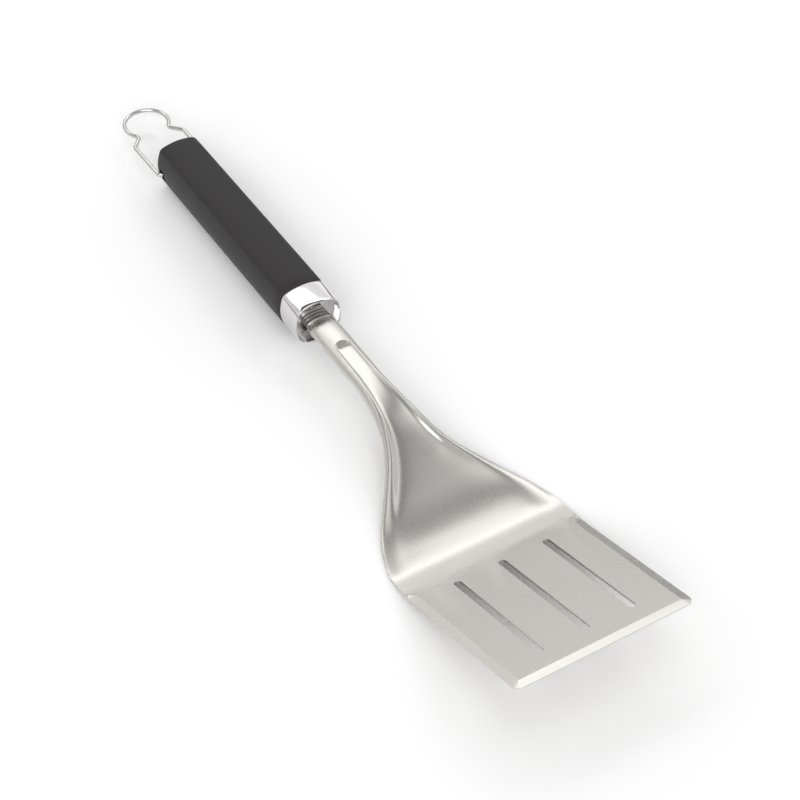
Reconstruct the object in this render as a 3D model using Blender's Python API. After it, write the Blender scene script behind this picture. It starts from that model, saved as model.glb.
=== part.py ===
"""Grill spatula: stamped stainless head, tang, ferrule, handle and hanging loop."""
import math
import bpy
import bmesh
import numpy as np
from mathutils import Matrix

for _ob in list(bpy.data.objects):
    bpy.data.objects.remove(_ob, do_unlink=True)

# ---------------------------------------------------------------- dimensions (mm)
MM = 0.001
REAR_Y = 488.2          # loop tip, measured from the blade's front edge
MID_Y = 0.5 * (REAR_Y - 0.5)
FLOOR = 39.5            # front edge of the blade above the floor
BLADE_TILT = math.radians(20.0)
BLADE_HALF = 50.0
SHEET = 1.5
GRIND = 4.5             # width of the ground edge
GRIND_DEPTH = 1.0
RUN_OUT_FROM, RUN_OUT_TO = 86.0, 95.2    # the side bevels end in a rounded run-out between these
THIN_BEVEL = 0.5        # width left to the bevel's columns where it has run out
FLAT_END = 97.0         # plan length of the flat blade
SLOT_HALF = 2.02
SLOT_FROM, SLOT_TO = 15.6, 94.2
SLOT_PITCH = 25.8

HANDLE_DROP = math.radians(-2.2)
FERRULE_FRONT = 268.5
FERRULE_REAR = 285.4
AXIS_Z0 = -18.9         # handle axis height at the ferrule's mouth
GRIP_FRONT = 285.7
GRIP_REAR = 432.0
GRIP_HALF_W, GRIP_HALF_H = 14.3, 13.5
GRIP_REAR_HALF_W, GRIP_REAR_HALF_H = 14.0, 14.15
UNDER_TAPER = 0.05
CORNER_R, MOUTH_CORNER_R = 3.6, 7.5      # rounding of the section's corners, along the grip and at the mouth
SLEEVE_WALL = 3.0
COLLAR_HALF_W, COLLAR_HALF_H = 7.6, 3.4
BAR_LIFT = 0.8          # the tang's flat end rises to lie under the neck's crown
ROD_R = 4.0
THREAD_R = 2.95
POCKET_FLOOR = 416.0
POCKET_R = 6.6

WIRE_R = 1.3
PIVOT_Y = 426.5
PIVOT_DROP = 2.0        # pivot below the handle axis
LEG_HALF, LEG_HALF_OUT = 15.6, 15.95
SHOULDER_S = 30.6
LOOP_REST = math.radians(-2.0)
BULB_R = 13.1
BULB_S = 47.3
BULB_FROM = math.radians(-36.0)      # where the round eye starts, seen from its centre
NECK_RUN = 2.2                       # straight run below the eye
BORE_R = 1.42
RECESS_R = 3.0


def to_frame(points):
    """millimetres from the front edge -> metres in the part frame"""
    p = np.asarray(points, float)
    return (p + np.array([0.0, -MID_Y, FLOOR])) * MM


def make_object(name, verts, faces):
    mesh = bpy.data.meshes.new(name)
    mesh.from_pydata([tuple(v) for v in to_frame(verts)], [], faces)
    ob = bpy.data.objects.new(name, mesh)
    bpy.context.collection.objects.link(ob)
    bm = bmesh.new()
    bm.from_mesh(mesh)
    bmesh.ops.recalc_face_normals(bm, faces=bm.faces)
    bm.to_mesh(mesh)
    bm.free()
    return ob


def material(ob, colour, metallic, rough):
    mat = bpy.data.materials.new(ob.name + "_mat")
    mat.use_nodes = True
    bsdf = mat.node_tree.nodes["Principled BSDF"]
    bsdf.inputs["Base Color"].default_value = (*colour, 1.0)
    bsdf.inputs["Metallic"].default_value = metallic
    bsdf.inputs["Roughness"].default_value = rough
    ob.data.materials.append(mat)


def blend(a, b, t):
    return a + (b - a) * t


def smooth_curve(ys, table):
    """monotone cubic through (y, value) rows"""
    t = np.array(table, float)
    x, v = t[:, 0], t[:, 1]
    h = np.diff(x)
    d = np.diff(v) / h
    m = np.zeros_like(v)
    m[0], m[-1] = d[0], d[-1]
    for i in range(1, len(v) - 1):
        if d[i - 1] * d[i] > 0:
            w1, w2 = 2 * h[i] + h[i - 1], h[i] + 2 * h[i - 1]
            m[i] = (w1 + w2) / (w1 / d[i - 1] + w2 / d[i])
    ys = np.clip(ys, x[0], x[-1])
    k = np.clip(np.searchsorted(x, ys) - 1, 0, len(h) - 1)
    s = (ys - x[k]) / h[k]
    a = (1 + 2 * s) * (1 - s) ** 2
    b = s * (1 - s) ** 2
    c = s * s * (3 - 2 * s)
    e = s * s * (s - 1)
    return a * v[k] + b * h[k] * m[k] + c * v[k + 1] + e * h[k] * m[k + 1]


# ---------------------------------------------------------------- head
# loft stations behind the flat blade: distance from the front edge, half width, height of the rail's crest,
# of the dish floor and of the sheet's edge, then how far crest and floor crease lie inside the edge
STATIONS = [
    (97.0, 50.25, -35.30, -35.30, -35.30, 4.5, 13.0),
    (110.0, 49.7, -37.70, -37.80, -37.80, 5.0, 15.0),
    (122.0, 47.2, -37.30, -37.95, -38.00, 6.0, 16.5),
    (134.0, 42.1, -36.20, -36.90, -37.80, 6.5, 16.0),
    (146.0, 33.9, -32.70, -34.45, -35.20, 5.5, 13.0),
    (158.0, 25.3, -27.70, -30.10, -30.80, 4.6, 10.4),
    (170.0, 18.1, -22.50, -24.90, -26.50, 4.2, 8.6),
    (182.0, 13.6, -17.10, -19.40, -22.10, 4.0, 7.3),
    (194.0, 11.1, -14.60, -15.90, -19.70, 3.7, 6.2),
    (212.0, 8.95, -13.70, -14.85, -18.80, 3.5, 5.2),
    (225.0, 8.7, -13.80, -14.90, -18.40, 3.6, 5.0),
    (236.0, 8.6, -13.90, -15.00, -18.40, 3.8, 4.9),
    (246.5, 8.6, -14.00, -15.00, -18.60, 3.6, 4.9),
    (262.0, 8.5, -14.50, -15.50, -19.20, 3.5, 4.9),
    (266.8, 8.0, -15.60, -15.60, -19.30, 3.2, 4.7),
]
# crown of the domed part of the neck, rounded over at its rear end
CROWN = [(200.0, -13.5), (236.0, -13.85), (246.0, -14.0), (262.0, -14.4), (265.0, -14.65), (266.2, -15.05),
         (266.8, -15.6)]
DOME_POWER = 2.5        # fullness of the dome's section
DOME_FROM, DOME_FULL = 210.0, 236.0  # the rails turn into the dome's shoulders between these
STEP_Y, STEP_RUN = 241.0, 4.8        # foot and length of the half-moon ramp up to the dome
STEP_EDGE = 0.4         # width of the ramp's rounded rim at its top
ROLL = [(0, 0.0), (97, 0.0), (112, 0.3), (130, 1.0), (266.8, 1.0)]
NB = 5                  # columns in the ground edge and over the rail


def head_rows():
    grind = [GRIND * i / NB for i in range(NB + 1)]
    flat = list(np.linspace(GRIND, RUN_OUT_FROM, 10))[1:]
    flat += [88.0, 90.0, 92.0, 93.5, 94.6, RUN_OUT_TO, FLAT_END]
    bend = list(np.arange(100.0, 192.0, 3.0))
    neck = list(np.arange(195.0, 238.0, 6.0))
    ramp = [STEP_Y - 1.6] + [STEP_Y + STEP_RUN * math.sin(a) for a in np.linspace(0, math.pi / 2, 7)]
    rear = [246.8, 248.4, 251.5, 256.0, 261.0, 263.2, 264.6, 265.6, 266.3, 266.8]
    return np.array(grind + flat + bend + neck + ramp + rear)


def grind_share(y):
    """width of the side bevel as a share of its full width"""
    t = min(1.0, max(0.0, (y - RUN_OUT_FROM) / (RUN_OUT_TO - RUN_OUT_FROM)))
    return math.sqrt(1 - t * t)


def smoothstep(t):
    t = min(1.0, max(0.0, t))
    return t * t * (3 - 2 * t)


def dome(x, half, crown, edge):
    """height of the neck's domed section at x"""
    return edge + (crown - edge) * max(0.0, 1 - min(1.0, x / half) ** DOME_POWER) ** (1 / DOME_POWER)


def head_surface():
    """top surface before grinding, per row: across points from left to right"""
    rows = head_rows()
    wid, crest, floor, edge, c_in, f_in = [
        smooth_curve(rows, [(s[0], s[k]) for s in STATIONS]) for k in range(1, 7)]
    roll = smooth_curve(rows, ROLL)
    plane = -np.tan(BLADE_TILT) * rows
    flat = rows <= FLAT_END
    for a in (crest, floor, edge):
        a[flat] = plane[flat]
    wid[flat] = blend(BLADE_HALF, wid[flat], rows[flat] / FLAT_END)
    c_in[rows < FLAT_END] = [max(GRIND * grind_share(y), THIN_BEVEL) for y in rows if y < FLAT_END]
    crown = smooth_curve(rows, CROWN)
    out = []
    for i, y in enumerate(rows):
        up = min(1.0, max(0.0, (y - STEP_Y) / STEP_RUN))      # 0 before the half-moon ramp, 1 behind it
        xf = max(wid[i] - f_in[i], 0.12)
        xr = max(wid[i] - c_in[i], xf + 0.15)
        rim = blend(xr - xf, STEP_EDGE, up)
        xf = max(xf * math.sqrt(1 - up * up), 0.12, 3.2 * smoothstep((y - STEP_Y - STEP_RUN) / 6))
        low = blend(min(floor[i], crown[i]), crown[i], up)
        domed = smoothstep((y - DOME_FROM) / (DOME_FULL - DOME_FROM))

        def section(x, railed, s):
            """railed section of the flare turned into the domed one, sunk to the panel where s is 0"""
            top = dome(x, wid[i], crown[i], edge[i])
            return x, blend(railed, blend(min(low, top), top, s), domed)

        half = [section(xf * k / 4, floor[i], 0.0) for k in range(4)]      # dish or panel floor
        for k in range(5):                       # rise to the rail
            x = blend(xf, xr, (k / 5) ** (1 + 0.5 * up))
            half.append(section(x, blend(floor[i], crest[i], smoothstep(k / 5)), smoothstep((x - xf) / rim)))
        for k in range(NB + 1):                  # over the rail to the sheet edge
            t = k / NB
            lx, lz = blend(xr, wid[i], t), blend(crest[i], edge[i], t)
            ang = t * math.pi / 2
            qx = xr + (wid[i] - xr) * math.sin(ang)
            qz = edge[i] + (crest[i] - edge[i]) * math.cos(ang)
            half.append(section(blend(lx, qx, roll[i]), blend(lz, qz, roll[i]), 1.0))
        left = [(-x, z) for x, z in reversed(half[1:])]
        out.append([(x, y, z) for x, z in left + half])
    grid = np.array(out)
    # round the two front corners: square block -> quarter disc
    m = grid.shape[1]
    for i in range(NB + 1):
        for j in range(NB + 1):
            p = np.array([j / NB, 1 - i / NB])
            if p.max() > 0:
                q = p * p.max() / np.linalg.norm(p)
                x = BLADE_HALF - GRIND + GRIND * q[0]
                y = GRIND - GRIND * q[1]
                for col, sign in ((m - NB - 1 + j, 1), (NB - j, -1)):
                    grid[i, col] = (sign * x, y, -math.tan(BLADE_TILT) * y)
    return rows, grid


def head_mesh():
    rows, grid = head_surface()
    nr, nc = grid.shape[:2]
    du = np.gradient(grid, axis=1)
    dv = np.gradient(grid, axis=0)
    nrm = np.cross(du, dv)
    nrm /= np.linalg.norm(nrm, axis=2, keepdims=True)
    nrm[rows <= FLAT_END] = (0, math.sin(BLADE_TILT), math.cos(BLADE_TILT))
    cut = np.zeros((nr, nc))
    for i, y in enumerate(rows):
        front = max(0.0, 1 - i / NB)
        for j in range(nc):
            side = grind_share(y) * max(0, abs(j - nc // 2) - (nc // 2 - NB)) / NB
            cut[i, j] = GRIND_DEPTH * max(side, front)
    top = grid - nrm * cut[..., None]
    low = grid - nrm * SHEET
    verts = np.concatenate([top.reshape(-1, 3), low.reshape(-1, 3)])
    base = nr * nc
    faces = []

    def idx(i, j, lower=0):
        return lower * base + i * nc + j

    for i in range(nr - 1):
        for j in range(nc - 1):
            quad = [idx(i, j), idx(i, j + 1), idx(i + 1, j + 1), idx(i + 1, j)]
            if i < NB and (j < NB or j >= nc - 1 - NB):   # mitre of the ground corner
                a, b, c, d = quad
                if j < NB:
                    faces += [(a, b, c), (a, c, d)]
                else:
                    faces += [(a, b, d), (b, c, d)]
            else:
                faces.append(tuple(quad))
            faces.append((idx(i, j, 1), idx(i + 1, j, 1), idx(i + 1, j + 1, 1), idx(i, j + 1, 1)))
    for i in range(nr - 1):
        faces.append((idx(i, 0), idx(i + 1, 0), idx(i + 1, 0, 1), idx(i, 0, 1)))
        faces.append((idx(i, nc - 1), idx(i, nc - 1, 1), idx(i + 1, nc - 1, 1), idx(i + 1, nc - 1)))
    for j in range(nc - 1):
        faces.append((idx(0, j), idx(0, j, 1), idx(0, j + 1, 1), idx(0, j + 1)))
        faces.append((idx(nr - 1, j), idx(nr - 1, j + 1), idx(nr - 1, j + 1, 1), idx(nr - 1, j, 1)))
    return verts, faces


def cut_with(ob, cutters):
    for c in cutters:
        mod = ob.modifiers.new("cut", "BOOLEAN")
        mod.operation = "DIFFERENCE"
        mod.solver = "EXACT"
        mod.object = c
        c.hide_render = True
        c.display_type = "WIRE"


def prism(name, outline, a0, a1):
    """closed prism between two point maps of one outline"""
    n = len(outline)
    verts = [a0(*p) for p in outline] + [a1(*p) for p in outline]
    faces = [tuple(range(n)), tuple(range(2 * n - 1, n - 1, -1))]
    faces += [(i, i + n, (i + 1) % n + n, (i + 1) % n) for i in range(n)]
    return make_object(name, verts, faces)


def slot_cutter(name, x0):
    pts = []
    for end, sgn in ((SLOT_FROM + SLOT_HALF, -1), (SLOT_TO - SLOT_HALF, 1)):
        for k in range(9):
            a = math.pi * k / 8
            pts.append((x0 + SLOT_HALF * math.cos(a) * -sgn, end + sgn * SLOT_HALF * math.sin(a)))
    ct, st = math.cos(BLADE_TILT), math.sin(BLADE_TILT)

    def at(h):
        return lambda x, s: (x, s * ct + h * st, -s * st + h * ct)
    return prism(name, pts, at(-4.0), at(3.0))


# ---------------------------------------------------------------- lofts on the handle axis
def axis_point(y):
    return np.array([0.0, y, AXIS_Z0 + (y - FERRULE_FRONT) * math.tan(HANDLE_DROP)])


def facet_section(a, h, r_top, r_side, r_corner, inset=0.0, counts=(3, 3, 4)):
    """rounded-facet outline: crowned top, bowed side, filleted corner; parallel inset"""
    ax, bz = a - r_side, h - r_top
    ra, rb = r_side - r_corner, r_top - r_corner
    d = math.hypot(ax, bz)
    k = (ra * ra - rb * rb + d * d) / (2 * d)
    hgt = math.sqrt(max(0.0, ra * ra - k * k))
    ux, uz = -ax / d, bz / d
    px, pz = ax + k * ux, k * uz
    cands = [(px - hgt * uz, pz + hgt * ux), (px + hgt * uz, pz - hgt * ux)]
    cx, cz = max(cands, key=lambda c: c[0] + c[1])
    f1 = math.atan2(cz, cx - ax)
    f2 = math.atan2(cz - bz, cx)
    ns, nf, nt = counts
    quarter = []
    for i in range(ns):
        f = f1 * i / ns
        quarter.append((ax + (r_side - inset) * math.cos(f), (r_side - inset) * math.sin(f)))
    for i in range(nf):
        f = f1 + (f2 - f1) * i / nf
        quarter.append((cx + (r_corner - inset) * math.cos(f), cz + (r_corner - inset) * math.sin(f)))
    for i in range(nt + 1):
        f = f2 + (math.pi / 2 - f2) * i / nt
        quarter.append(((r_top - inset) * math.cos(f), bz + (r_top - inset) * math.sin(f)))
    up = quarter + [(-x, z) for x, z in reversed(quarter[:-1])]
    down = [(x, -z) for x, z in reversed(up[1:-1])]
    return np.array(up + down)


def circle_section(r, n):
    a = 2 * math.pi * np.arange(n) / n
    return np.stack([r * np.cos(a), r * np.sin(a)], axis=1)


def place(section, y):
    """section plane square to the handle axis"""
    c = axis_point(y)
    t = math.tan(HANDLE_DROP)
    out = np.empty((len(section), 3))
    out[:, 0] = section[:, 0]
    out[:, 2] = c[2] + section[:, 1] * math.cos(HANDLE_DROP)
    out[:, 1] = y - section[:, 1] * math.sin(HANDLE_DROP)
    return out


def loft(name, stations, ring=False):
    """stations: (y, section); ring closes the path on itself, otherwise the ends are capped"""
    n = len(stations[0][1])
    verts = np.concatenate([place(s, y) for y, s in stations])
    m = len(stations)
    faces = []
    for i in range(m if ring else m - 1):
        i2 = (i + 1) % m
        for j in range(n):
            j2 = (j + 1) % n
            faces.append((i * n + j, i * n + j2, i2 * n + j2, i2 * n + j))
    if not ring:
        faces.append(tuple(range(n)))
        faces.append(tuple(range(m * n - 1, (m - 1) * n - 1, -1)))
    return make_object(name, verts, faces)


def handle_section(y, inset, counts=(3, 3, 4), corner=CORNER_R):
    t = (y - GRIP_FRONT) / (GRIP_REAR - GRIP_FRONT)
    w = blend(GRIP_HALF_W, GRIP_REAR_HALF_W, max(0.0, t))
    h = blend(GRIP_HALF_H, GRIP_REAR_HALF_H, max(0.0, t))
    sec = facet_section(w, h, 31.0, 27.0, corner, inset, counts)
    low = np.minimum(sec[:, 1], 0.0) / h
    sec[:, 0] *= 1 + UNDER_TAPER * low
    return sec


def x_cylinder(name, y, z, r, x0, x1, n=16):
    outline = [(y + r * math.cos(2 * math.pi * i / n), z + r * math.sin(2 * math.pi * i / n)) for i in range(n)]
    return prism(name, outline, lambda a, b: (x0, a, b), lambda a, b: (x1, a, b))


# ---------------------------------------------------------------- build
def build_head():
    ob = make_object("spatula_head", *head_mesh())
    cut_with(ob, [slot_cutter("slot_cut_%d" % i, SLOT_PITCH * (i - 1)) for i in range(3)])
    material(ob, (0.60, 0.58, 0.55), 1.0, 0.34)


def tang_section(a, h):
    return facet_section(a, h, 4.2 * h + 6, 3.0 * h + 3, min(0.8 * h, 3.0), 0.0, (2, 4, 3))


def build_tang():
    bar = tang_section(5.2, 1.3)
    seated = bar + (0.0, BAR_LIFT)
    st = [(249.5, tang_section(4.4, 0.9) + (0.0, BAR_LIFT)), (250.3, seated), (260.5, seated), (264.5, bar),
          (267.1, bar)]
    body = tang_section(COLLAR_HALF_W, COLLAR_HALF_H)
    rib = tang_section(COLLAR_HALF_W + 0.2, COLLAR_HALF_H + 0.2)
    st.append((267.1, body))
    for k in range(3):
        y = 269.0 + 2.2 * k
        st += [(y, body), (y + 0.3, rib), (y + 0.7, rib), (y + 1.0, body)]
    st.append((277.0, body))
    rod = circle_section(ROD_R, len(bar))
    thread = circle_section(THREAD_R, len(bar))
    st += [(277.0, rod), (415.3, rod), (415.8, thread), (424.0, thread), (424.5, circle_section(2.4, len(bar)))]
    material(loft("tang", st), (0.58, 0.57, 0.55), 1.0, 0.38)


def build_ferrule():
    def s(y, inset):
        corner = blend(CORNER_R, MOUTH_CORNER_R, smoothstep((FERRULE_REAR - y) / (FERRULE_REAR - FERRULE_FRONT)))
        return handle_section(y, inset, (3, 6, 4), corner)
    n = len(s(270, 0))
    hole = circle_section(ROD_R + 0.15, n)
    st = [(FERRULE_REAR, s(285, 0.5)), (285.2, s(285, 0.15)), (284.8, s(285, 0.0)), (280.0, s(280, -0.1)),
          (274.0, s(274, -0.1)), (270.4, s(270, 0.0)), (269.2, s(269, 0.15)), (268.65, s(268, 0.4)),
          (268.5, s(268, 0.7)), (268.65, s(268, 1.0)), (269.3, s(268, 1.2)), (277.3, s(277, 1.35)), (277.3, hole),
          (280.8, hole), (280.8, s(285, 2.6)), (FERRULE_REAR, s(285, 2.6))]
    material(loft("ferrule", st, ring=True), (0.86, 0.86, 0.87), 1.0, 0.10)


def pivot():
    c = axis_point(PIVOT_Y)
    return c[1], c[2] - PIVOT_DROP


def build_core():
    def s(y):
        return handle_section(y, SLEEVE_WALL + 0.15, (2, 3, 3))
    n = len(s(300))
    bore = circle_section(ROD_R + 0.3, n)
    pocket = circle_section(POCKET_R, n)
    st = [(281.1, handle_section(281.1, 3.3, (2, 3, 3))), (281.6, s(281.6)), (340.0, s(340)), (400.0, s(400)),
          (428.9, s(429)), (429.0, pocket), (POCKET_FLOOR, pocket), (POCKET_FLOOR, bore), (281.1, bore)]
    ob = loft("handle_core", st, ring=True)
    py, pz = pivot()
    cut_with(ob, [x_cylinder("core_bore_r", py, pz, BORE_R, 7.7, 16.0),
                  x_cylinder("core_bore_l", py, pz, BORE_R, -16.0, -7.7)])
    material(ob, (0.05, 0.05, 0.05), 0.0, 0.55)


def build_grip():
    def s(y, inset):
        return handle_section(y, inset, (4, 4, 5))
    inner = SLEEVE_WALL - 0.15
    ys = np.linspace(300.0, 418.0, 5)
    st = [(GRIP_FRONT, s(GRIP_FRONT, 0.5)), (GRIP_FRONT + 0.4, s(GRIP_FRONT, 0.1))]
    st += [(y, s(y, 0.0)) for y in ys]
    st += [(430.0, s(430, 0.0)), (431.3, s(431, 0.2)), (431.85, s(432, 0.7)), (GRIP_REAR, s(432, 1.4)),
           (GRIP_REAR, s(432, inner)), (360.0, s(360, inner)), (GRIP_FRONT, s(GRIP_FRONT, inner))]
    ob = loft("grip", st, ring=True)
    py, pz = pivot()
    cutters = []
    for side in (-1, 1):
        x0, x1 = sorted((side * 11.9, side * 18.0))
        pts = [(py + RECESS_R * math.cos(a), pz + RECESS_R * math.sin(a)) for a in np.linspace(0, math.pi, 9)]
        pts += [(py + RECESS_R * math.cos(a), pz - 2.5 + RECESS_R * math.sin(a))
                for a in np.linspace(math.pi, 2 * math.pi, 9)]
        cutters.append(prism("recess_%d" % (side + 1), pts,
                             lambda a, b, x=x0: (x, a, b), lambda a, b, x=x1: (x, a, b)))
        x0, x1 = sorted((side * 10.0, side * 13.0))
        cutters.append(x_cylinder("entry_%d" % (side + 1), py, pz, 1.7, x0, x1))
    cut_with(ob, cutters)
    material(ob, (0.018, 0.017, 0.017), 0.0, 0.42)


def build_fastening():
    n = 24
    washer = loft("tang_washer", [(416.2, circle_section(6.2, n)), (417.4, circle_section(6.2, n)),
                                  (417.4, circle_section(3.2, n)), (416.2, circle_section(3.2, n))], ring=True)
    material(washer, (0.62, 0.61, 0.58), 1.0, 0.35)
    hexa = []
    for i in range(6):
        a, b = math.radians(60 * i), math.radians(60 * i + 60)
        for k in range(4):
            hexa.append((5.7 * blend(math.cos(a), math.cos(b), k / 4), 5.7 * blend(math.sin(a), math.sin(b), k / 4)))
    hexa = np.array(hexa)
    bore = circle_section(THREAD_R + 0.1, n)
    nut = loft("tang_nut", [(417.6, hexa * 0.94), (418.0, hexa), (422.2, hexa), (422.6, hexa * 0.94),
                            (422.6, bore), (417.6, bore)], ring=True)
    material(nut, (0.60, 0.59, 0.56), 1.0, 0.4)


def build_cap():
    plate = handle_section(430, SLEEVE_WALL + 0.15, (2, 3, 3))
    n = len(plate)
    st = [(425.4, circle_section(5.8, n)), (426.0, circle_section(6.3, n)), (429.3, circle_section(6.3, n)),
          (429.3, plate), (431.2, plate), (431.7, handle_section(430, SLEEVE_WALL + 0.7, (2, 3, 3)))]
    material(loft("end_cap", st), (0.03, 0.03, 0.03), 0.0, 0.5)


def filleted(points, radii, steps=5):
    """polyline with each inner corner replaced by an arc"""
    pts = [np.array(p, float) for p in points]
    out = [pts[0]]
    for i in range(1, len(pts) - 1):
        r = radii.get(i, 0)
        a, b = pts[i - 1] - pts[i], pts[i + 1] - pts[i]
        a, b = a / np.linalg.norm(a), b / np.linalg.norm(b)
        if not r:
            out.append(pts[i])
            continue
        half = 0.5 * math.acos(float(np.clip(a @ b, -1, 1)))
        d = r / math.tan(half)
        c = pts[i] + (a + b) / np.linalg.norm(a + b) * (r / math.sin(half))
        p0, p1 = pts[i] + a * d, pts[i] + b * d
        v0, v1 = p0 - c, p1 - c
        ang = math.acos(float(np.clip(v0 @ v1 / r / r, -1, 1)))
        for k in range(steps + 1):
            t = k / steps
            v = (math.sin((1 - t) * ang) * v0 + math.sin(t * ang) * v1) / math.sin(ang)
            out.append(c + v)
    out.append(pts[-1])
    return np.array(out)


def loop_path():
    """right half from bent end to tip, in the loop's own plane (x, distance from the pivot)"""
    turns = np.linspace(BULB_FROM, math.pi / 2, 14)
    arc = [(BULB_R * math.cos(a), BULB_S + BULB_R * math.sin(a)) for a in turns]
    neck = (arc[0][0] + NECK_RUN * math.sin(BULB_FROM), arc[0][1] - NECK_RUN * math.cos(BULB_FROM))
    pts = [(8.0, 0.0), (LEG_HALF, 0.0), (LEG_HALF_OUT, SHOULDER_S), neck] + arc
    right = filleted(pts, {1: 2.4, 2: 4.0, 3: 2.4})
    left = right[:-1][::-1] * np.array([-1, 1])
    return np.concatenate([right, left])


def build_loop():
    path = loop_path()
    py, pz = pivot()
    c, s = math.cos(LOOP_REST), math.sin(LOOP_REST)
    seg = np.diff(path, axis=0)
    seg /= np.linalg.norm(seg, axis=1, keepdims=True)
    tan = np.concatenate([seg[:1], seg[:-1] + seg[1:], seg[-1:]])
    tan /= np.linalg.norm(tan, axis=1, keepdims=True)
    side = np.stack([tan[:, 1], -tan[:, 0]], axis=1)
    n = 12
    verts, faces = [], []
    for p, b in zip(path, side):
        for k in range(n):
            a = 2 * math.pi * k / n
            x = p[0] + WIRE_R * math.cos(a) * b[0]
            d = p[1] + WIRE_R * math.cos(a) * b[1]
            h = WIRE_R * math.sin(a)
            verts.append((x, py + d * c - h * s, pz + d * s + h * c))
    m = len(path)
    for i in range(m - 1):
        for k in range(n):
            k2 = (k + 1) % n
            faces.append((i * n + k, i * n + k2, (i + 1) * n + k2, (i + 1) * n + k))
    faces.append(tuple(range(n)))
    faces.append(tuple(range(m * n - 1, (m - 1) * n - 1, -1)))
    ob = make_object("hang_loop", verts, faces)
    origin = to_frame([(0.0, py, pz)])[0]
    ob.data.transform(Matrix.Translation(-origin))
    ob.location = origin
    material(ob, (0.72, 0.72, 0.70), 1.0, 0.22)


build_head()
build_tang()
build_ferrule()
build_core()
build_grip()
build_fastening()
build_cap()
build_loop()
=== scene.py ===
"""Grill spatula: finishes, finer pieces, floor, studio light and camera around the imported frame."""
import math

import bmesh
import bpy
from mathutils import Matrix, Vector


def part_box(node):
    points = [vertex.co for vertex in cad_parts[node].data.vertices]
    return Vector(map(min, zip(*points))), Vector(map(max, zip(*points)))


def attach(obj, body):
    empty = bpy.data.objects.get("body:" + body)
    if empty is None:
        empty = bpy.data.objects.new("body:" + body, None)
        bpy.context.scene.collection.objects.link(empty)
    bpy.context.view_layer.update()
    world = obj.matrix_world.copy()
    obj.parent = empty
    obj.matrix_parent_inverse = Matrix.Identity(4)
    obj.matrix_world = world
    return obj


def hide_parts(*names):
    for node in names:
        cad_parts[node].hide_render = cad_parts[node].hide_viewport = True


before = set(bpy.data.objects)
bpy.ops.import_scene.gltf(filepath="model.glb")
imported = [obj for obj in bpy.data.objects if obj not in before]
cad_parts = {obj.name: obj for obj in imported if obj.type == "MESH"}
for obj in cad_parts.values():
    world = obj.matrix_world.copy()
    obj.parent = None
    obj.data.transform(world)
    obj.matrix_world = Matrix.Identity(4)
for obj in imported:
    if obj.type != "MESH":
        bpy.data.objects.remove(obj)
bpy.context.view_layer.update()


# ---------------------------------------------------------------- shader nodes
OBJECT_COORDS = 3                           # output of a Texture Coordinate node
MIX_DARK, MIX_LIGHT, MIX_RESULT = 6, 7, 2   # colour sockets and colour output of a Mix node
VECTOR_OUT, VALUE_OUT = 0, 1                # outputs of a Vector Math node


class Sig:
    """A shader socket that takes part in Python arithmetic."""

    def __init__(self, graph, socket):
        self.graph, self.socket = graph, socket

    def maths(self, operation, one, two):
        return self.graph.node("ShaderNodeMath", {"operation": operation}, {0: one, 1: two})[0]

    def __add__(self, other):
        return self.maths("ADD", self, other)

    def __radd__(self, other):
        return self.maths("ADD", other, self)

    def __mul__(self, other):
        return self.maths("MULTIPLY", self, other)

    def __rmul__(self, other):
        return self.maths("MULTIPLY", other, self)

    def clamp(self, low, high):
        return self.maths("MINIMUM", self.maths("MAXIMUM", self, low), high)


class Graph:
    """The nodes of one material or of the world."""

    def __init__(self, tree):
        self.tree = tree

    def node(self, kind, settings=None, values=None):
        """add a node, set it up, then give its sockets their values or links; returns its outputs"""
        made = self.tree.nodes.new(kind)
        for key, value in (settings or {}).items():
            if key == "stops":
                made.color_ramp.interpolation = "EASE"
                ramp = made.color_ramp.elements
                while len(ramp) < len(value):
                    ramp.new(0.5)
                for stop, (place, grey) in zip(ramp, value):
                    stop.position, stop.color = place, (grey, grey, grey, 1.0)
            else:
                setattr(made, key, value)
        for key, value in (values or {}).items():
            if isinstance(value, Sig):
                self.tree.links.new(value.socket, made.inputs[key])
            else:
                made.inputs[key].default_value = value
        return [Sig(self, out) for out in made.outputs]

    def vector(self, operation, one, two=(0.0, 0.0, 0.0)):
        return self.node("ShaderNodeVectorMath", {"operation": operation}, {0: one, 1: two})


class Finish(Graph):
    """One procedural material, built node by node."""

    def __init__(self, name, **constants):
        self.data = bpy.data.materials.new(name)
        self.data.use_nodes = True
        super().__init__(self.data.node_tree)
        self.bsdf = self.tree.nodes["Principled BSDF"]
        for key, value in constants.items():
            self.bsdf.inputs[key.replace("_", " ")].default_value = value

    def feed(self, name, value):
        self.tree.links.new(value.socket, self.bsdf.inputs[name])

    def object_coords(self, scale=(1, 1, 1)):
        coords = self.node("ShaderNodeTexCoord")[OBJECT_COORDS]
        return self.node("ShaderNodeMapping", {}, {"Vector": coords, "Scale": scale})[0]

    def noise(self, vector, scale, detail=3.0, rough=0.5):
        values = {"Vector": vector, "Scale": scale, "Detail": detail, "Roughness": rough}
        return self.node("ShaderNodeTexNoise", {}, values)[0]

    def tint(self, mask, dark, light):
        values = {"Factor": mask, MIX_DARK: (*dark, 1.0), MIX_LIGHT: (*light, 1.0)}
        return self.node("ShaderNodeMix", {"data_type": "RGBA"}, values)[MIX_RESULT]

    def bump(self, height, strength, distance):
        values = {"Height": height, "Strength": strength, "Distance": distance}
        return self.node("ShaderNodeBump", {}, values)[0]


# ---------------------------------------------------------------- finishes
ALONG_TOOL = (1.0, 0.05, 1.0)       # stretches a grain along the tool
AROUND_BAR = (0.1, 1.0, 0.1)        # stretches a grain around the turned bar
FINE_GRAIN = 0.00003                # depth of the finest grain


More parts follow.
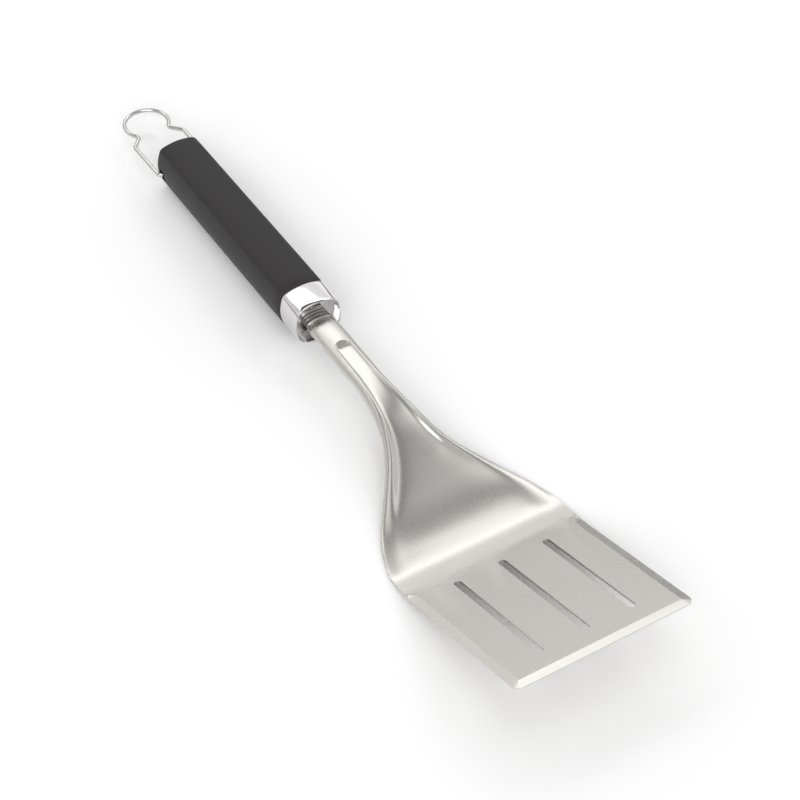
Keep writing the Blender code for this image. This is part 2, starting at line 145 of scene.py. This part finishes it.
def satin_stainless():
    f = Finish("satin_stainless", Metallic=1.0)
    lines = f.noise(f.object_coords(ALONG_TOOL), scale=2600.0, detail=2.0, rough=0.6)
    cloud = f.noise(f.object_coords(), scale=22.0)
    grit = f.noise(f.object_coords(), scale=3800.0, detail=2.0)
    f.feed("Base Color", f.tint(cloud, dark=(0.575, 0.555, 0.525), light=(0.635, 0.615, 0.585)))
    f.feed("Roughness", (0.23 + lines * 0.06 + cloud * 0.04).clamp(0.1, 0.9))
    f.feed("Normal", f.bump(lines * 0.7 + grit * 0.5, strength=0.05, distance=FINE_GRAIN))
    return f


def turned_stainless():
    f = Finish("turned_stainless", Metallic=1.0)
    rings = f.noise(f.object_coords(AROUND_BAR), scale=1800.0, detail=2.0)
    f.feed("Base Color", f.tint(rings, dark=(0.52, 0.50, 0.48), light=(0.62, 0.60, 0.58)))
    f.feed("Roughness", 0.26 + rings * 0.12)
    f.feed("Normal", f.bump(rings, strength=0.06, distance=FINE_GRAIN))
    return f


def polished_casting():
    f = Finish("polished_casting", Metallic=1.0)
    swirl = f.noise(f.object_coords(), scale=90.0, detail=4.0)
    fine = f.noise(f.object_coords(), scale=2400.0, detail=2.0)
    f.feed("Base Color", f.tint(swirl, dark=(0.67, 0.655, 0.66), light=(0.73, 0.715, 0.72)))
    f.feed("Roughness", (0.045 + swirl * 0.05 + fine * 0.02).clamp(0.02, 0.3))
    f.feed("Normal", f.bump(swirl, strength=0.05, distance=0.0002))
    return f


def soft_touch_black():
    f = Finish("soft_touch_black", Metallic=0.0, Specular_IOR_Level=0.3)
    grain = f.noise(f.object_coords(), scale=5200.0, detail=2.0)
    wear = f.noise(f.object_coords(), scale=40.0, detail=4.0)
    f.feed("Base Color", f.tint(wear, dark=(0.020, 0.018, 0.0185), light=(0.028, 0.0255, 0.026)))
    f.feed("Roughness", (0.46 + wear * 0.08 + grain * 0.05).clamp(0.2, 0.9))
    f.feed("Normal", f.bump(grain, strength=0.12, distance=0.00004))
    return f


def moulded_nylon(name, tone):
    f = Finish(name, Metallic=0.0)
    grain = f.noise(f.object_coords(), scale=3000.0)
    f.feed("Base Color", f.tint(grain, dark=[tone] * 3, light=[tone * 1.3] * 3))
    f.feed("Roughness", 0.5 + grain * 0.12)
    f.feed("Normal", f.bump(grain, strength=0.2, distance=0.00005))
    return f


def drawn_wire():
    f = Finish("drawn_wire", Metallic=1.0)
    haze = f.noise(f.object_coords(), scale=160.0)
    f.feed("Base Color", f.tint(haze, dark=(0.52, 0.51, 0.50), light=(0.62, 0.61, 0.60)))
    f.feed("Roughness", (0.12 + haze * 0.10).clamp(0.05, 0.5))
    return f


def plated_fastener():
    f = Finish("plated_fastener", Metallic=1.0)
    haze = f.noise(f.object_coords(), scale=300.0)
    f.feed("Base Color", f.tint(haze, dark=(0.52, 0.51, 0.49), light=(0.64, 0.63, 0.60)))
    f.feed("Roughness", 0.3 + haze * 0.15)
    return f


# ---------------------------------------------------------------- finer copies of the frame's pieces
MERGE = 0.000002                    # corners closer than this are one corner
UPWARD = 0.8                        # a face whose normal rises more than this faces up
UPPER_FACET = math.radians(6.0)     # ground facets seen from above stay sharp from this bend
SIDE_FACET = math.radians(40.0)     # and those of the rim and the slots' walls from this one
QUAD_BEND, QUAD_SKEW = math.radians(35.0), math.radians(60.0)
SMOOTHING, SMOOTH_PASSES = 0.5, 4


def deselect():
    if bpy.context.object and bpy.context.object.mode != "OBJECT":
        bpy.ops.object.mode_set(mode="OBJECT")
    bpy.ops.object.select_all(action="DESELECT")


def only(ob):
    deselect()
    ob.select_set(True)
    bpy.context.view_layer.objects.active = ob


def dress(ob, finish):
    ob.data.materials.clear()
    ob.data.materials.append(finish.data)


def pick_vertices(ob, wanted):
    """in edit mode, select the vertices whose place passes the test"""
    bpy.ops.mesh.select_mode(type="VERT")
    bpy.ops.mesh.select_all(action="DESELECT")
    bpy.ops.object.mode_set(mode="OBJECT")
    for vertex in ob.data.vertices:
        vertex.select = wanted(vertex.co)
    bpy.ops.object.mode_set(mode="EDIT")


def pick_edges(ob, wanted):
    """in edit mode, select the edges that pass the test together with the normals of their two faces"""
    bpy.ops.mesh.select_mode(type="EDGE")
    bpy.ops.mesh.select_all(action="DESELECT")
    net = bmesh.from_edit_mesh(ob.data)
    for edge in net.edges:
        if len(edge.link_faces) == 2 and wanted(edge, *[face.normal for face in edge.link_faces]):
            edge.select_set(True)
    bmesh.update_edit_mesh(ob.data)


def refined(node, name, body, finish, levels, sharp=28.0, ground=None, eased=None):
    """copy of a frame node with its corners merged, its hard edges creased and its curves subdivided;
    ground(place) tells where a flat part keeps its facets and straight edges, and eased(place) where
    the curves are smoothed first; sharp is the bend in degrees from which an edge is hard"""
    ob = bpy.data.objects.new(name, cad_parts[node].data.copy())
    bpy.context.scene.collection.objects.link(ob)
    only(ob)
    bpy.ops.object.mode_set(mode="EDIT")
    bpy.ops.mesh.select_all(action="SELECT")
    bpy.ops.mesh.remove_doubles(threshold=MERGE)
    bpy.ops.mesh.faces_shade_smooth()

    def on_ground(edge, one, two):
        return all(ground(vertex.co) for vertex in edge.verts)

    def facet(edge, one, two):
        bend = UPPER_FACET if min(one.z, two.z) > UPWARD else SIDE_FACET
        return on_ground(edge, one, two) and one.angle(two) > bend

    if ground:
        pick_edges(ob, facet)
        bpy.ops.mesh.mark_sharp()
        pick_vertices(ob, lambda place: not ground(place))      # the flat part keeps its triangles
        bpy.ops.mesh.select_mode(type="FACE")
    bpy.ops.mesh.tris_convert_to_quads(face_threshold=QUAD_BEND, shape_threshold=QUAD_SKEW)
    pick_edges(ob, lambda edge, one, two: one.angle(two) > math.radians(sharp))
    bpy.ops.transform.edge_crease(value=1.0)
    if ground:
        pick_edges(ob, on_ground)
        bpy.ops.transform.edge_crease(value=1.0)
        pick_vertices(ob, ground)
        bpy.ops.transform.vert_crease(value=1.0)
    if eased:
        pick_vertices(ob, eased)
        bpy.ops.mesh.vertices_smooth(factor=SMOOTHING, repeat=SMOOTH_PASSES)
    bpy.ops.object.mode_set(mode="OBJECT")
    finer = ob.modifiers.new("finer", "SUBSURF")
    finer.levels = finer.render_levels = levels
    bpy.ops.object.modifier_apply(modifier=finer.name)
    bpy.ops.object.shade_smooth_by_angle(angle=math.radians(sharp))
    dress(ob, finish)
    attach(ob, body)
    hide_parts(node)


BLADE_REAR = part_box("spatula_head")[0][1] + 0.0975                      # the flat blade ends here
DISH_FROM, DISH_TO = BLADE_REAR + 0.020, BLADE_REAR + 0.125             # dish and rims behind the heel
ROUND_SHARP = 50.0                                                      # for pieces of round section

refined("spatula_head", "stamped_head", "spatula", satin_stainless(), 1,
        ground=lambda place: place.y < BLADE_REAR,
        eased=lambda place: DISH_FROM < place.y < DISH_TO)
refined("ferrule", "cast_ferrule", "spatula", polished_casting(), 2)
refined("grip", "soft_grip_sleeve", "spatula", soft_touch_black(), 1)
refined("hang_loop", "wire_loop", "loop", drawn_wire(), 1, ROUND_SHARP)
refined("tang", "tang_bar", "spatula", turned_stainless(), 1, ROUND_SHARP)
dress(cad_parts["handle_core"], moulded_nylon("core_nylon", 0.05))
dress(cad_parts["end_cap"], moulded_nylon("cap_nylon", 0.03))
for part in ("tang_washer", "tang_nut"):
    dress(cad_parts[part], plated_fastener())


# ---------------------------------------------------------------- floor
FLOOR_SIZE, FLOOR_LEVEL = 14.0, -0.0004
FLOOR_GREY = 0.96


def floor():
    deselect()
    bpy.ops.mesh.primitive_plane_add(size=FLOOR_SIZE, location=(0, 0, FLOOR_LEVEL))
    ob = bpy.context.object
    ob.name = "studio_floor"
    pale = (FLOOR_GREY, FLOOR_GREY, FLOOR_GREY, 1.0)
    dress(ob, Finish("pale_floor", Base_Color=pale, Metallic=0.0, Roughness=0.9, Specular_IOR_Level=0.0))


# ---------------------------------------------------------------- light
# The room's own brightness is given by height above the horizon. Each lamp is a soft field in it:
# brightness by height, brightness by turn away from LIGHT_TURN, and strength. Angles are in degrees.
ROOM = [(0, 0.14), (12, 0.12), (20, 0.20), (50, 0.18), (56, 0.02), (62, 0.05), (69, 0.34), (75, 0.52),
        (90, 0.6)]
BACK_HEIGHTS = [(10, 0.0), (17, 0.44), (28, 0.30), (36, 0.34), (42, 1.05), (50, 1.05), (53, 0.0)]
BACK_TURNS = [(85, 0.35), (50, 0.6), (25, 1.0)]
FRONT_HEIGHTS = [(12, 0.0), (24, 1.0), (46, 1.0), (56, 0.0)]
FRONT_TURNS = [(180, 1.0), (158, 1.0), (140, 0.0)]
SIDE_HEIGHTS = [(0, 1.0), (22, 1.0), (38, 0.0)]
SIDE_TURNS = [(140, 0.0), (118, 1.0), (72, 1.0), (52, 0.0)]
LAMPS = [(BACK_HEIGHTS, BACK_TURNS, 1.0),
         (FRONT_HEIGHTS, FRONT_TURNS, 1.5),
         (SIDE_HEIGHTS, SIDE_TURNS, 0.13)]
LIGHT_TURN = 31.0
STUDIO_STRENGTH = 2.0


def studio():
    """a pale room with a broad soft light behind the object and weaker ones in front and at the sides"""
    world = bpy.data.worlds.new("studio")
    bpy.context.scene.world = world
    world.use_nodes = True
    sky = Graph(world.node_tree)
    ray = sky.node("ShaderNodeTexCoord")[0]
    height = sky.node("ShaderNodeSeparateXYZ", {}, {0: ray})[2]
    level = sky.vector("NORMALIZE", sky.vector("MULTIPLY", ray, (1.0, 1.0, 0.0))[VECTOR_OUT])[VECTOR_OUT]
    turn = math.radians(LIGHT_TURN)
    half_toward = (0.5 * math.sin(turn), 0.5 * math.cos(turn), 0.0)
    facing = sky.vector("DOT_PRODUCT", level, half_toward)[VALUE_OUT] + 0.5     # 1 toward the light

    def ramp(signal, stops):
        return sky.node("ShaderNodeValToRGB", {"stops": stops}, {"Fac": signal})[0]

    def by_height(stops):
        return ramp(height, [(math.sin(math.radians(rise)), grey) for rise, grey in stops])

    def by_turn(stops):
        return ramp(facing, [(0.5 + 0.5 * math.cos(math.radians(away)), grey) for away, grey in stops])

    light = by_height(ROOM)
    for heights, turns, strength in LAMPS:
        field = sky.vector("MULTIPLY", by_height(heights), by_turn(turns))[VECTOR_OUT]
        lamp = sky.vector("MULTIPLY", field, (strength, strength, strength))[VECTOR_OUT]
        light = sky.vector("ADD", light, lamp)[VECTOR_OUT]
    background = sky.tree.nodes["Background"]
    sky.tree.links.new(light.socket, background.inputs["Color"])
    background.inputs["Strength"].default_value = STUDIO_STRENGTH


# ---------------------------------------------------------------- camera
CAMERA_PLACE = (-0.41456, -0.74795, 0.88264)
CAMERA_AZIMUTH, CAMERA_ELEVATION = math.radians(-31.06), math.radians(46.51)
LENS, SENSOR = 103.5, 36.0
NEAREST, FARTHEST = 0.05, 30.0


def camera():
    data = bpy.data.cameras.new("camera")
    data.sensor_width, data.lens = SENSOR, LENS
    data.clip_start, data.clip_end = NEAREST, FARTHEST
    ob = bpy.data.objects.new("camera", data)
    bpy.context.scene.collection.objects.link(ob)
    level = math.cos(CAMERA_ELEVATION)
    backward = Vector((math.sin(CAMERA_AZIMUTH) * level, -math.cos(CAMERA_AZIMUTH) * level,
                       math.sin(CAMERA_ELEVATION)))
    ob.location = CAMERA_PLACE
    ob.rotation_euler = (-backward).to_track_quat("-Z", "Y").to_euler()
    bpy.context.scene.camera = ob


floor()
studio()
camera()
bpy.context.scene.view_settings.view_transform = "Standard"     # keeps the pale floor pale
